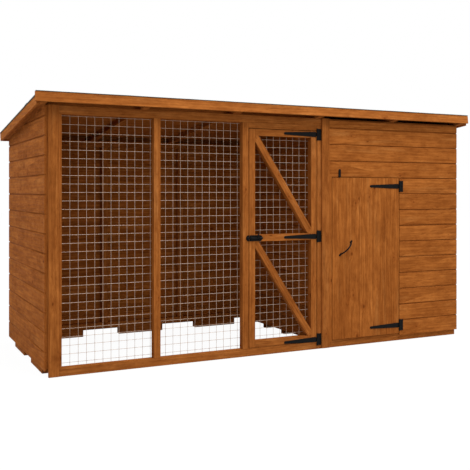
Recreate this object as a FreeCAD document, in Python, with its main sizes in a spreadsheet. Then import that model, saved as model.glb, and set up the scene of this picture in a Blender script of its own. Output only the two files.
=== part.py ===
import FreeCAD, Part
import os
import re
import Sketcher

# Timber kennel with an attached wire run under one pent roof that falls to the back.
# Frame: +X along the front towards the kennel end, +Y to the back, +Z up, ground at zero.
# The origin is the middle of the whole outline, on the ground.

# Driving sizes in millimetres, angles in degrees
SIZES = {
    # whole frame and its timber
    "frame_length": 3048,
    "frame_depth": 1171,
    "front_height": 1572,
    "roof_slope": 6.1,
    "kennel_width": 1128,
    "stick": 44,
    "sole_height": 50,
    # weather boards
    "board_thickness": 12,
    "board_cover": 113.5,
    "board_lap": 8,
    "top_board_gap": 11.3,
    "board_slip": 0.6,
    "lip_depth": 5,
    "cove_height": 11,
    "boards_start": 38.5,
    # cover strips
    "strip_width": 60,
    "strip_thickness": 14,
    "strip_foot": 3,
    "corner_strip_inset": 9,
    "joint_strip_lap": 12,
    # door of the run
    "door_opening": 525,
    "door_head_height": 35.4,
    "door_gap": 4,
    "door_foot_gap": 3,
    # welded mesh
    "mesh_pitch": 50,
    "wire_radius": 1.5,
    "mesh_margin": 2.1,
    "mesh_low": 17.8,
    # feet and bearers
    "side_foot_length": 335,
    "side_foot_margin": 119,
    "side_foot_rear_margin": 167,
    "back_foot_length": 349,
    "back_foot_margin": 120,
    "bearer_setback": 19,
    "floor_thickness": 16,
    "floor_joint": 0.5,
    # kennel door
    "jamb_reveal": 19.5,
    "kennel_door_gap": 4,
    "kennel_door_foot": 54,
    "kennel_door_top": 1170,
    "kennel_door_width": 571,
    "door_lap": 19.5,
    "door_board_joint": 1,
    "ledge_thickness": 22,
    "ledge_height": 90,
    "ledge_gap": 4,
    # roof
    "side_overhang": 56,
    "front_reach": 53,
    "rear_reach": 14.5,
    "rafter_depth": 36,
    "roof_board_thickness": 12,
    "roof_board_joint": 1,
    "felt_thickness": 2,
    "fascia_thickness": 15,
    "fascia_height": 58,
    "fascia_stand": 13,
    "fascia_lap": 8,
    # strap hinges
    "leaf_thickness": 3,
    "strap_length": 258,
    "strap_root": 26,
    "strap_tip": 12,
    "plate_height": 78,
    "plate_width": 33,
    "knuckle_radius": 5.5,
    "knuckle_gap": 0.5,
    "pin_radius": 2.5,
    "plate_fit": 0.02,
    "strap_fit": 0.08,
    "pin_stand": 2,
    "seat_gap": 0.3,
    "low_hinge_rise": 13,
    "kennel_hinge_inset": 59,
    # pad bolt
    "bolt_plate_length": 95,
    "bolt_plate_height": 39,
    "bolt_plate_inset": 1,
    "bolt_radius": 5,
    "bolt_fit": 0.1,
    "bolt_tip_stand": 2,
    "bolt_length": 98,
    "guide_length": 8,
    "guide_wall": 4,
    "near_guide": 6,
    "far_guide": 64,
    "knob_place": 58,
    "knob_radius": 3.5,
    "knob_reach": 30,
    "knob_lean": 30,
    "ball_radius": 5,
    "keeper_width": 19,
    "keeper_edge": 1,
    "keeper_inset": 3,
    "keeper_length": 12,
    "keeper_fit": 0.8,
    # turn button
    "button_inset": 58,
    "button_rise": 10,
    "button_width": 17,
    "button_reach": 39.5,
    "button_thickness": 5,
    "screw_radius": 2.5,
    "screw_fit": 0.08,
    "screw_head_radius": 6,
    "screw_head_height": 3,
    # bow handle
    "handle_inset": 109.5,
    "handle_level": 681,
    "handle_lean": 44,
    "handle_span": 118,
    "handle_rise": 32,
    "handle_rod_radius": 5,
    "handle_foot_length": 24,
    "handle_foot_width": 12,
    "handle_foot_thickness": 3,
    "handle_foot_shift": 4,
    # room that the cutting shapes run past the timber
    "overrun": 200,
}

# Places worked out from the driving sizes, as formulas of the sheet
PLACES = {
    "left_plane": "0 - frame_length / 2",
    "right_plane": "frame_length / 2",
    "rear_end": "(frame_depth + rear_reach) / cos(roof_slope)",
    "barge_top": "rafter_depth + roof_board_thickness",
    "roof_top": "barge_top + felt_thickness",
    "front_plane": "0 - ((rear_end - front_reach) * cos(roof_slope)"
                   " + (2 * roof_top + fascia_stand - fascia_height) * sin(roof_slope)) / 2",
    "back_plane": "front_plane + frame_depth",
    "front_frame_back": "front_plane + stick",
    "back_frame_front": "back_plane - stick",
    "panel_depth": "frame_depth - 2 * stick",
    "fall": "tan(roof_slope)",
    "back_height": "front_height - frame_depth * fall",
    "front_plate_low": "front_height - stick * (1 + fall)",
    "back_plate_low": "back_height - stick",
    "rail_top": "sole_height + stick",
    "slant_rail": "stick / cos(roof_slope)",
    "roof_width": "frame_length + 2 * (board_thickness + side_overhang - fascia_thickness)",
    "roof_run": "rear_end + front_reach",
    "run_left": "left_plane + stick",
    "run_length": "frame_length - 2 * stick - kennel_width",
    "run_right": "run_left + run_length",
    "window_width": "(run_length - door_opening - 4 * stick) / 2",
    "mullion_left": "run_left + stick + window_width",
    "latch_post": "mullion_left + stick + window_width",
    "hinge_post": "run_right - stick",
    "door_left": "latch_post + stick + door_gap",
    "door_right": "hinge_post - door_gap",
    "door_width": "door_right - door_left",
    "door_low": "sole_height + door_foot_gap",
    "door_head": "front_plate_low - door_head_height",
    "door_high": "door_head - door_gap",
    "light_width": "door_width - 2 * stick",
    "top_rail_low": "door_high - stick",
    "middle_rail_low": "(door_low + top_rail_low) / 2",
    "low_light": "middle_rail_low - door_low - stick",
    "high_light": "top_rail_low - middle_rail_low - stick",
    "kennel_right": "right_plane - stick",
    "jamb_stud": "run_right + stick",
    "strip_left": "run_right - joint_strip_lap",
    "strip_right": "strip_left + strip_width",
    "leaf_left": "strip_right + jamb_reveal + kennel_door_gap",
    "leaf_right": "leaf_left + kennel_door_width",
    "boards_left": "leaf_right + kennel_door_gap",
    "boards_right": "right_plane + board_thickness",
    "hinge_stud": "leaf_right - door_lap",
    "kennel_head": "kennel_door_top - door_lap",
    "boards_face": "front_plane - board_thickness",
    "board_height": "board_cover + board_lap - board_slip",
    "cove_radius": "(lip_depth * lip_depth + cove_height * cove_height) / (2 * lip_depth)",
    "cove_turn": "asin(cove_height / cove_radius) / 1deg",
    "clad_depth": "frame_depth + board_thickness",
    "mesh_width": "latch_post + stick - run_left - 2 * (mesh_margin - wire_radius)",
    "wire_flat": "wire_radius * cos(30)",
    "run_axis_x": "door_right + door_gap / 2",
    "run_axis_y": "front_plane - seat_gap - knuckle_radius",
    "kennel_axis_x": "leaf_right + kennel_door_gap / 2",
    "kennel_axis_y": "boards_face - seat_gap - knuckle_radius",
    "plate_knuckle": "(plate_height - strap_root) / 2 - knuckle_gap",
    "bolt_axis": "front_plane - leaf_thickness - seat_gap - bolt_radius",
    "bolt_level": "middle_rail_low + stick / 2",
    "bolt_plate_left": "door_left + bolt_plate_inset",
    "keeper_left": "latch_post + stick - keeper_edge - keeper_width",
    "pivot_x": "leaf_left + button_inset",
    "pivot_z": "kennel_door_top + button_rise",
    "button_face": "boards_face - seat_gap - button_thickness",
    "bow_radius": "(handle_span * handle_span / 4 + handle_rise * handle_rise) / (2 * handle_rise)",
    "bow_half_angle": "asin(handle_span / 2 / bow_radius) / 1deg",
}

# How many of each
WIRE_SIDES = 6
DOOR_BOARDS = 5
FLOOR_BOARDS = 9
BEARERS = 5
BACK_FEET = 3
RAFTERS = 6
ROOF_COURSES = 11

doc = FreeCAD.newDocument("KennelAndRun")
sheet = doc.addObject("Spreadsheet::Sheet", "Sizes")
nodes = []


def fill_sheet():
    rows = list(SIZES.items())
    rows += [(name, "=" + text) for name, text in PLACES.items()]
    for row, (name, content) in enumerate(rows, start=1):
        sheet.set("A%d" % row, name)
        sheet.set("B%d" % row, str(content))
        sheet.setAlias("B%d" % row, name)
    doc.recompute()


def linked(text):
    """A formula of sheet names, each with the sheet's own name before it."""
    def reference(match):
        word = match.group(0)
        return "Sizes." + word if word in SIZES or word in PLACES else word
    return re.sub(r"[a-z]\w*", reference, text)


def value_of(text):
    """The present value of a formula of sheet names."""
    sheet.set("D1", "=" + text)
    sheet.recompute()
    return float(sheet.get("D1"))


def count_of(text):
    """How many whole steps cover a length."""
    return int(value_of(text)) + 1


def bind(item, **formulas):
    for prop, text in formulas.items():
        item.setExpression(prop.replace("__", "."), linked(text))


def place(item, x="0", y="0", z="0", axis=None, angle="0"):
    """Sets an object down, turned about one axis where one is named."""
    if axis is not None:
        item.Placement = FreeCAD.Placement(FreeCAD.Vector(), FreeCAD.Rotation(FreeCAD.Vector(*axis), 1))
        bind(item, Placement__Rotation__Angle=angle)
    bind(item, Placement__Base__x=x, Placement__Base__y=y, Placement__Base__z=z)
    return item


def keep(item, label):
    """Names an object as one of the sub-parts that are written out."""
    item.Label = label
    nodes.append(item)
    return item


def timber(length, width, height, x="0", y="0", z="0"):
    """A sawn piece: its three sizes, then the place of its low corner."""
    box = doc.addObject("Part::Box", "timber")
    bind(box, Length=length, Width=width, Height=height)
    return place(box, x, y, z)


def rod(radius, height, x="0", y="0", z="0", axis=None, angle="0"):
    cylinder = doc.addObject("Part::Cylinder", "rod")
    bind(cylinder, Radius=radius, Height=height)
    return place(cylinder, x, y, z, axis, angle)


def group(items):
    bundle = doc.addObject("Part::Compound", "group")
    bundle.Links = items
    return bundle


def fused(items):
    union = doc.addObject("Part::MultiFuse", "union")
    union.Shapes = items
    return union


def cut(base, tool):
    rest = doc.addObject("Part::Cut", "cut")
    rest.Base = base
    rest.Tool = tool
    return rest


def copy_of(item, x="0", y="0", z="0", axis=None, angle="0"):
    link = doc.addObject("App::Link", "copy")
    link.LinkedObject = item
    return place(link, x, y, z, axis, angle)


# Outlines: each corner is held by its two formulas, and a rounded edge by its centre

def outline_pad(role, corners, depth, rounded=None):
    """A padded outline. rounded maps an edge to a point it passes and its centre's first formula."""
    rounded = rounded or {}
    body = doc.addObject("PartDesign::Body", "body")
    sketch = body.newObject("Sketcher::SketchObject", "outline")
    plane = [item for item in body.Origin.OriginFeatures if item.Role == role][0]
    sketch.AttachmentSupport = [(plane, "")]
    sketch.MapMode = "FlatFace"
    spots = [FreeCAD.Vector(value_of(x), value_of(y), 0) for x, y in corners]
    for edge, start in enumerate(spots):
        end = spots[(edge + 1) % len(spots)]
        if edge in rounded:
            middle = FreeCAD.Vector(value_of(rounded[edge][0]), value_of(rounded[edge][1]), 0)
            sketch.addGeometry(Part.Arc(start, middle, end))
        else:
            sketch.addGeometry(Part.LineSegment(start, end))
    for edge, corner in enumerate(corners):
        join_edges(sketch, edge, len(corners), spots[edge])
        hold_corner(sketch, edge, len(corners), corner, spots[edge], rounded)
    for edge, (x, y, centre) in rounded.items():
        rule = sketch.addConstraint(Sketcher.Constraint("DistanceX", -1, 1, edge, 3, value_of(centre)))
        sketch.setExpression("Constraints[%d]" % rule, linked(centre))
    pad = body.newObject("PartDesign::Pad", "pad")
    pad.Profile = sketch
    bind(pad, Length=depth)
    return body


def end_at(sketch, edge, spot):
    """Which end of an edge lies at a corner: the sketch turns an arc as it likes."""
    gaps = [sketch.getPoint(edge, end).distanceToPoint(spot) for end in (1, 2)]
    return 1 if gaps[0] < gaps[1] else 2


def join_edges(sketch, edge, count, spot):
    before = (edge - 1) % count
    sketch.addConstraint(Sketcher.Constraint(
        "Coincident", before, end_at(sketch, before, spot), edge, end_at(sketch, edge, spot)))


def hold_corner(sketch, edge, count, corner, spot, rounded):
    """Ties a corner to its formulas through the straight edge that meets it."""
    held = (edge - 1) % count if edge in rounded else edge
    end = end_at(sketch, held, spot)
    axes = (("DistanceX", corner[0], spot.x, -2), ("DistanceY", corner[1], spot.y, -1))
    for kind, text, value, zero_line in axes:
        if text == "0":
            sketch.addConstraint(Sketcher.Constraint("PointOnObject", held, end, zero_line))
            continue
        rule = sketch.addConstraint(Sketcher.Constraint(kind, -1, 1, held, end, value))
        sketch.setExpression("Constraints[%d]" % rule, linked(text))


def weather_board(length):
    """Shiplap: a scooped lip at the top goes behind the rebate of the board above."""
    corners = [
        ("0", "0"),
        ("lip_depth + board_slip", "0"),
        ("lip_depth + board_slip", "board_lap"),
        ("board_thickness", "board_lap"),
        ("board_thickness", "board_height"),
        ("lip_depth", "board_height"),
        ("lip_depth", "board_cover"),
        ("0", "board_cover - cove_height"),
    ]
    scoop_centre = "lip_depth - cove_radius"
    scoop = (scoop_centre + " + cove_radius * cos(cove_turn / 2)",
             "board_cover - cove_radius * sin(cove_turn / 2)", scoop_centre)
    return outline_pad("YZ_Plane", corners, length, {6: scoop})


def board_rows(length, first, count):
    """Boards laid one over the other along +X, faces towards -Y."""
    board = weather_board(length)
    rows = range(first, first + count)
    return group([copy_of(board, z="boards_start + %d * board_cover" % row) for row in rows])


def roof_space():
    """Everything above the plane that the roof rests on."""
    box = doc.addObject("Part::Box", "roof_space")
    bind(box, Length="frame_length + 2 * overrun", Width="frame_depth + 2 * overrun", Height="overrun * 2")
    return place(box, "left_plane - overrun", "front_plane - overrun * cos(roof_slope)",
                 "front_height + overrun * sin(roof_slope)", (1, 0, 0), "0 - roof_slope")


def on_roof(item, x, along, up):
    """Lays a piece on the roof's slope: along counts from the frame's front plane."""
    return place(item, x,
                 "front_plane + (%s) * cos(roof_slope) + (%s) * sin(roof_slope)" % (along, up),
                 "front_height - (%s) * sin(roof_slope) + (%s) * cos(roof_slope)" % (along, up),
                 (1, 0, 0), "0 - roof_slope")


# Front of the run

def make_run_front(above):
    sill = timber("run_length", "stick", "sole_height", "run_left", "front_plane")
    keep(sill, "run_front_sill")
    rail = timber("kennel_right - run_left", "stick", "overrun", "run_left", "front_plane",
                  "front_plate_low")
    keep(cut(rail, above), "front_top_rail")
    posts = {
        "run_corner_post": "run_left",
        "run_mullion": "mullion_left",
        "run_latch_post": "latch_post",
        "run_hinge_post": "hinge_post",
    }
    for label, x in posts.items():
        post = timber("stick", "stick", "front_plate_low - sole_height", x, "front_plane", "sole_height")
        keep(post, label)
    head = timber("door_opening", "stick", "door_head_height", "latch_post + stick",
                  "front_plane", "door_head")
    keep(head, "run_door_head")


def mesh_sheet(label, x, low, width, height):
    """Welded mesh on the back of a frame: upright wires, and level wires touching them behind.

    The wires keep their pitch, and as many are cut as fit the width and height given.
    """
    across = count_of("(%s - 2 * wire_radius) / mesh_pitch" % width)
    up = count_of("(%s) / mesh_pitch" % height)
    upright = wire("%d * mesh_pitch + 2 * wire_radius" % (up - 1))
    level = wire("%d * mesh_pitch + 2 * wire_radius" % (across - 1))
    wires = []
    for step in range(across):
        place_x = "%s + wire_radius + %d * mesh_pitch" % (x, step)
        wires.append(copy_of(upright, place_x, "front_frame_back + wire_flat", low + " - wire_radius"))
    for step in range(up):
        height_z = "%s + %d * mesh_pitch" % (low, step)
        wires.append(copy_of(level, x, "front_frame_back + 3 * wire_flat", height_z, (0, 1, 0), "90"))
    keep(group(wires), label)


def wire(length):
    prism = doc.addObject("Part::Prism", "wire")
    prism.Polygon = WIRE_SIDES
    bind(prism, Circumradius="wire_radius", Height=length)
    return prism


def make_run_mesh():
    mesh_sheet("run_mesh", "run_left + mesh_margin - wire_radius", "mesh_low",
               "mesh_width", "front_plate_low - mesh_low")


# Door of the run

def make_run_door():
    for label, x in (("run_door_latch_stile", "door_left"), ("run_door_hinge_stile", "door_right - stick")):
        keep(timber("stick", "stick", "door_high - door_low", x, "front_plane", "door_low"), label)
    levels = ("door_low", "middle_rail_low", "top_rail_low")
    rails = [timber("light_width", "stick", "stick", "door_left + stick", "front_plane", z) for z in levels]
    keep(group(rails), "run_door_rails")
    braces = []
    for low, rise in (("door_low + stick", "low_light"), ("middle_rail_low + stick", "high_light")):
        braces.append(place(corner_brace(rise), "door_left + stick", "front_frame_back", low))
    keep(group(braces), "run_door_braces")
    mesh_sheet("run_door_mesh", "door_left + mesh_margin", "mesh_low + mesh_pitch",
               "door_width - 2 * mesh_margin", "door_high - mesh_low - mesh_pitch")


def corner_brace(rise):
    """A brace from the upper left to the lower right corner, cut to fit both corners."""
    diagonal = "sqrt(light_width * light_width + %s * %s)" % (rise, rise)
    along = "stick / 2 * %s / %s" % (diagonal, rise)
    down = "stick / 2 * %s / light_width" % diagonal
    corners = [
        ("0", "%s - %s" % (rise, down)),
        ("light_width - %s" % along, "0"),
        ("light_width", "0"),
        ("light_width", down),
        (along, rise),
        ("0", rise),
    ]
    return outline_pad("XZ_Plane", corners, "stick")


# Walls: frames, then their boards

def sloped_rail(start, length, x):
    """A top rail along +Y under the roof plane, its ends plumb."""
    drop = "(%s) * fall" % length
    head = "front_height - (%s - front_plane) * fall" % start
    corners = [
        ("0", "%s - slant_rail" % head),
        (length, "%s - slant_rail - %s" % (head, drop)),
        (length, "%s - %s" % (head, drop)),
        ("0", head),
    ]
    return place(outline_pad("YZ_Plane", corners, "stick"), x, start)


def side_frame(name, x, above):
    middle = "(front_plane + back_plane - stick) / 2"
    studs = [timber("stick", "stick", "front_height", x, y, "rail_top")
             for y in ("front_plane", middle, "back_frame_front")]
    keep(cut(group(studs), above), name + "_studs")
    half = "(panel_depth - stick) / 2"
    rails = [timber("stick", "frame_depth", "stick", x, "front_plane", "sole_height")]
    rails += [sloped_rail(start, half, x) for start in ("front_frame_back", middle + " + stick")]
    keep(group(rails), name + "_rails")


def make_left_wall(above):
    side_frame("left_wall", "left_plane", above)
    feet = [timber("stick", "side_foot_length", "sole_height", "left_plane", y) for y in (
        "front_plane + side_foot_margin",
        "back_plane - side_foot_rear_margin - side_foot_length")]
    keep(group(feet), "left_wall_feet")
    rows = board_rows("clad_depth", 0, count_of("(front_height - boards_start) / board_cover"))
    place(rows, "left_plane - board_thickness", "back_plane + board_thickness", "0", (0, 0, 1), "0 - 90")
    keep(cut(rows, above), "left_wall_boards")


def make_right_wall(above):
    side_frame("right_wall", "kennel_right", above)
    rows = board_rows("clad_depth", 0, count_of("(front_height - boards_start) / board_cover"))
    place(rows, "right_plane + board_thickness", "front_plane", "0", (0, 0, 1), "90")
    keep(cut(rows, above), "right_wall_boards")


def back_frame(name, left, width, studs, above):
    posts = [timber("stick", "stick", "back_plate_low - rail_top", x, "back_frame_front", "rail_top")
             for x in studs]
    keep(group(posts), name + "_studs")
    sole = timber(width, "stick", "stick", left, "back_frame_front", "sole_height")
    plate = timber(width, "stick", "overrun", left, "back_frame_front", "back_plate_low")
    keep(cut(group([sole, plate]), above), name + "_rails")


def back_boards(name, right, width, above):
    rows = board_rows(width, 0, count_of("(back_height - boards_start) / board_cover"))
    place(rows, right, "back_plane + board_thickness", "0", (0, 0, 1), "180")
    keep(cut(rows, above), name)


def make_back_walls(above):
    back_frame("run_back", "run_left", "run_length",
               ("run_left", "mullion_left", "latch_post", "hinge_post"), above)
    span = "(run_length - 2 * back_foot_margin - back_foot_length) / %d" % (BACK_FEET - 1)
    feet = [timber("back_foot_length", "stick", "sole_height",
                   "run_left + back_foot_margin + %d * %s" % (step, span), "back_frame_front")
            for step in range(BACK_FEET)]
    keep(group(feet), "run_back_feet")
    back_boards("run_back_boards", "run_right", "run_right - left_plane", above)
    back_frame("kennel_back", "run_right", "kennel_width",
               ("run_right", "hinge_stud", "kennel_right - stick"), above)
    back_boards("kennel_back_boards", "right_plane", "right_plane - run_right", above)


def make_partition(above):
    """The boarded wall between run and kennel."""
    middle = "(front_plane + back_plane - stick) / 2"
    studs = [timber("stick", "stick", "front_height", "run_right", y, "rail_top")
             for y in ("front_frame_back", middle, "back_frame_front - stick")]
    keep(cut(group(studs), above), "partition_studs")
    half = "(panel_depth - 3 * stick) / 2"
    rails = [timber("stick", "panel_depth", "stick", "run_right", "front_frame_back", "sole_height")]
    rails += [sloped_rail(start, half, "run_right")
              for start in ("front_frame_back + stick", middle + " + stick")]
    keep(group(rails), "partition_rails")
    rows = board_rows("panel_depth", 0, count_of("(front_height - boards_start) / board_cover"))
    place(rows, "run_right - board_thickness", "back_frame_front", "0", (0, 0, 1), "0 - 90")
    keep(cut(rows, above), "partition_boards")


# Kennel front

def make_kennel_front():
    foot = timber("kennel_width", "stick", "stick", "run_right", "front_plane", "sole_height")
    head = timber("hinge_stud - jamb_stud - stick", "stick", "stick", "jamb_stud + stick",
                  "front_plane", "kennel_head")
    keep(group([foot, head]), "kennel_front_rails")
    places = ("run_right", "jamb_stud", "hinge_stud", "kennel_right - stick")
    studs = [timber("stick", "stick", "front_plate_low - rail_top", x, "front_plane", "rail_top")
             for x in places]
    keep(group(studs), "kennel_front_studs")
    rows = board_rows("boards_right - strip_right", 0,
                      count_of("(front_height - boards_start) / board_cover"))
    place(rows, "strip_right", "boards_face")
    doorway = timber("boards_left - strip_right", "overrun", "kennel_door_top + kennel_door_gap",
                     "strip_right", "front_plane - overrun / 2")
    lid = timber("boards_right - strip_right", "overrun", "overrun", "strip_right",
                 "front_plane - overrun / 2", "front_height - top_board_gap")
    keep(cut(rows, group([doorway, lid])), "kennel_front_boards")
    strip = timber("jamb_reveal", "board_thickness", "kennel_door_top + kennel_door_gap - boards_start",
                   "strip_right", "boards_face", "boards_start")
    keep(strip, "kennel_jamb_strip")


def make_kennel_door():
    pitch = "kennel_door_width / %d" % DOOR_BOARDS
    tall = "kennel_door_top - kennel_door_foot"
    boards = [timber(pitch + " - door_board_joint", "board_thickness", tall,
                     "leaf_left + %d * %s" % (step, pitch), "boards_face", "kennel_door_foot")
              for step in range(DOOR_BOARDS)]
    keep(group(boards), "kennel_door_boards")
    left = "jamb_stud + stick + ledge_gap"
    width = "hinge_stud - jamb_stud - stick - 2 * ledge_gap"
    low = "rail_top + ledge_gap"
    high = "kennel_head - ledge_gap - ledge_height"
    ledges = [timber(width, "ledge_thickness", "ledge_height", left, "front_plane", z)
              for z in (low, "(%s + %s) / 2" % (low, high), high)]
    keep(group(ledges), "kennel_door_ledges")


def make_cover_strips(above):
    places = {"corner_cover_strip": "left_plane + corner_strip_inset", "joint_cover_strip": "strip_left"}
    for label, x in places.items():
        strip = timber("strip_width", "strip_thickness", "front_height", x,
                       "front_plane - strip_thickness", "strip_foot")
        keep(cut(strip, above), label)


# Floor of the kennel

def make_floor():
    step = "(frame_depth - stick) / %d" % (BEARERS - 1)
    bearers = [timber("right_plane - run_right - bearer_setback", "stick", "sole_height",
                      "run_right + bearer_setback", "front_plane + %d * %s" % (row, step))
               for row in range(BEARERS)]
    keep(group(bearers), "floor_bearers")
    pitch = "(kennel_width - stick) / %d" % FLOOR_BOARDS
    boards = [timber("%s - floor_joint" % pitch, "panel_depth", "floor_thickness",
                     "jamb_stud + %d * %s" % (row, pitch), "front_frame_back", "sole_height")
              for row in range(FLOOR_BOARDS)]
    keep(group(boards), "kennel_floor_boards")


# Roof

def make_roof():
    rafters = []
    for row in range(RAFTERS):
        rafter = timber("stick", "roof_run", "rafter_depth")
        x = "0 - roof_width / 2 + %d * (roof_width - stick) / %d" % (row, RAFTERS - 1)
        rafters.append(on_roof(rafter, x, "0 - front_reach", "0"))
    keep(group(rafters), "roof_rafters")
    boards = []
    for row in range(ROOF_COURSES):
        width = "roof_run / %d - roof_board_joint" % ROOF_COURSES
        board = timber("roof_width", width, "roof_board_thickness")
        along = "0 - front_reach + %d * roof_run / %d" % (row, ROOF_COURSES)
        boards.append(on_roof(board, "0 - roof_width / 2", along, "rafter_depth"))
    keep(group(boards), "roof_boards")
    outer_left = "0 - roof_width / 2 - fascia_thickness"
    covered = "roof_run + fascia_thickness"
    felt = timber("roof_width + 2 * fascia_thickness", covered, "felt_thickness")
    keep(on_roof(felt, outer_left, "0 - front_reach", "barge_top"), "roof_felt")
    front = timber("roof_width + 2 * (fascia_thickness + fascia_lap)", "fascia_thickness", "fascia_height")
    keep(on_roof(front, outer_left + " - fascia_lap", "0 - front_reach - fascia_thickness",
                 "roof_top + fascia_stand - fascia_height"), "front_fascia")
    rear = timber("roof_width", "fascia_thickness", "fascia_height")
    keep(on_roof(rear, "0 - roof_width / 2", "rear_end", "barge_top - fascia_height"), "rear_fascia")
    for label, x in (("left_bargeboard", outer_left), ("right_bargeboard", "roof_width / 2")):
        barge = timber("fascia_thickness", covered, "fascia_height")
        keep(on_roof(barge, x, "0 - front_reach", "barge_top - fascia_height"), label)


# Strap hinges, drawn about their own axis and then set on the doors

def hinge_strap():
    half_gap = "(strap_root - strap_tip) / 2"
    corners = [
        ("strap_tip / 2", half_gap),
        ("strap_length", "0"),
        ("strap_length", "strap_root"),
        ("strap_tip / 2", "%s + strap_tip" % half_gap),
    ]
    tip = ("0", "strap_root / 2", "strap_tip / 2")
    leaf = place(outline_pad("XZ_Plane", corners, "leaf_thickness", {3: tip}),
                 "0 - strap_length", "knuckle_radius + seat_gap", "0 - strap_root / 2")
    knuckle = rod("knuckle_radius", "strap_root", z="0 - strap_root / 2")
    bore = rod("pin_radius + strap_fit", "overrun", z="0 - overrun / 2")
    return cut(fused([leaf, knuckle]), bore)


def hinge_plate():
    leaf = timber("plate_width", "leaf_thickness", "plate_height", "0",
                  "knuckle_radius + seat_gap - leaf_thickness", "0 - plate_height / 2")
    low = rod("knuckle_radius", "plate_knuckle", z="0 - plate_height / 2")
    high = rod("knuckle_radius", "plate_knuckle", z="plate_height / 2 - plate_knuckle")
    notch = timber("2 * (knuckle_radius + knuckle_gap)", "overrun", "strap_root + 2 * knuckle_gap",
                   "0 - knuckle_radius - knuckle_gap", "0 - overrun / 2", "0 - strap_root / 2 - knuckle_gap")
    bore = rod("pin_radius + plate_fit", "overrun", z="0 - overrun / 2")
    return cut(cut(fused([leaf, low, high]), notch), bore)


def hinge_pin():
    return group([rod("pin_radius", "plate_height + 2 * pin_stand", z="0 - plate_height / 2 - pin_stand")])


def make_hinges():
    levels = {
        "run": ("top_rail_low + stick / 2", "bolt_level", "door_low + low_hinge_rise"),
        "kennel": ("kennel_door_top - kennel_hinge_inset", "kennel_door_foot + kennel_hinge_inset"),
    }
    pieces = {"straps": hinge_strap(), "plates": hinge_plate(), "pins": hinge_pin()}
    for side, heights in levels.items():
        for name, piece in pieces.items():
            copies = [copy_of(piece, side + "_axis_x", side + "_axis_y", z) for z in heights]
            keep(group(copies), "%s_hinge_%s" % (side, name))


# Pad bolt on the run door

def bolt_loop(x, length, fit):
    """A strap bent over the rod, standing on the plate."""
    outer = "bolt_radius + %s + guide_wall" % fit
    arch = rod(outer, length, x, "bolt_axis", "bolt_level", (0, 1, 0), "90")
    base = timber(length, "front_plane - bolt_axis", "2 * (%s)" % outer, x, "bolt_axis",
                  "bolt_level - (%s)" % outer)
    return [arch, base]


def make_pad_bolt():
    plate = timber("bolt_plate_length - bolt_plate_height / 2", "leaf_thickness", "bolt_plate_height",
                   "bolt_plate_left", "front_plane - leaf_thickness", "bolt_level - bolt_plate_height / 2")
    end = rod("bolt_plate_height / 2", "leaf_thickness",
              "bolt_plate_left + bolt_plate_length - bolt_plate_height / 2",
              "front_plane", "bolt_level", (1, 0, 0), "90")
    near = bolt_loop("bolt_plate_left + near_guide", "guide_length", "bolt_fit")
    far = bolt_loop("bolt_plate_left + far_guide", "guide_length", "bolt_fit")
    channel = rod("bolt_radius + bolt_fit", "bolt_plate_length + stick", "bolt_plate_left - stick / 2",
                  "bolt_axis", "bolt_level", (0, 1, 0), "90")
    behind = timber("bolt_plate_length", "stick", "2 * bolt_plate_height", "bolt_plate_left", "front_plane",
                    "bolt_level - bolt_plate_height")
    keep(cut(fused([plate, end] + near + far), group([channel, behind])), "bolt_plate")
    tip = "door_left - bolt_tip_stand"
    shaft = rod("bolt_radius", "bolt_length", tip, "bolt_axis", "bolt_level", (0, 1, 0), "90")
    knob = rod("knob_radius", "knob_reach", tip + " + knob_place", "bolt_axis", "bolt_level",
               (1, 0, 0), "knob_lean")
    ball = doc.addObject("Part::Sphere", "knob_end")
    bind(ball, Radius="ball_radius")
    place(ball, tip + " + knob_place", "bolt_axis - knob_reach * sin(knob_lean)",
          "bolt_level + knob_reach * cos(knob_lean)")
    keep(fused([shaft, knob, ball]), "bolt_rod")


def make_keeper():
    """A half-round plate with its loop, on the post beside the bolt."""
    disc = rod("bolt_plate_height / 2", "leaf_thickness", "keeper_left + bolt_plate_height / 2",
               "front_plane", "bolt_level", (1, 0, 0), "90")
    beyond = timber("bolt_plate_height", "stick", "2 * bolt_plate_height", "keeper_left + keeper_width",
                    "front_plane - stick", "bolt_level - bolt_plate_height")
    channel = rod("bolt_radius + keeper_fit", "stick", "latch_post", "bolt_axis", "bolt_level",
                  (0, 1, 0), "90")
    behind = timber("stick", "stick", "2 * bolt_plate_height", "latch_post", "front_plane",
                    "bolt_level - bolt_plate_height")
    loop = bolt_loop("keeper_left + keeper_inset", "keeper_length", "keeper_fit")
    keep(cut(fused([disc] + loop), group([beyond, channel, behind])), "bolt_keeper")


# Turn button and bow handle of the kennel door

def make_turn_button():
    bar = timber("button_width", "button_thickness", "button_reach", "pivot_x - button_width / 2",
                 "button_face", "pivot_z")
    ends = [rod("button_width / 2", "button_thickness", "pivot_x", "button_face + button_thickness", z,
                (1, 0, 0), "90") for z in ("pivot_z", "pivot_z + button_reach")]
    hole = rod("screw_radius + screw_fit", "overrun", "pivot_x", "boards_face + overrun / 2", "pivot_z",
               (1, 0, 0), "90")
    keep(cut(fused([bar] + ends), hole), "turn_button")
    shank = rod("screw_radius", "button_thickness + 2 * seat_gap", "pivot_x", "boards_face", "pivot_z",
                (1, 0, 0), "90")
    head = doc.addObject("Part::Cone", "screw_head")
    bind(head, Radius1="screw_head_radius", Radius2="screw_head_radius / 2", Height="screw_head_height")
    place(head, "pivot_x", "button_face - seat_gap", "pivot_z", (1, 0, 0), "90")
    keep(fused([shank, head]), "turn_button_screw")


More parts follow.
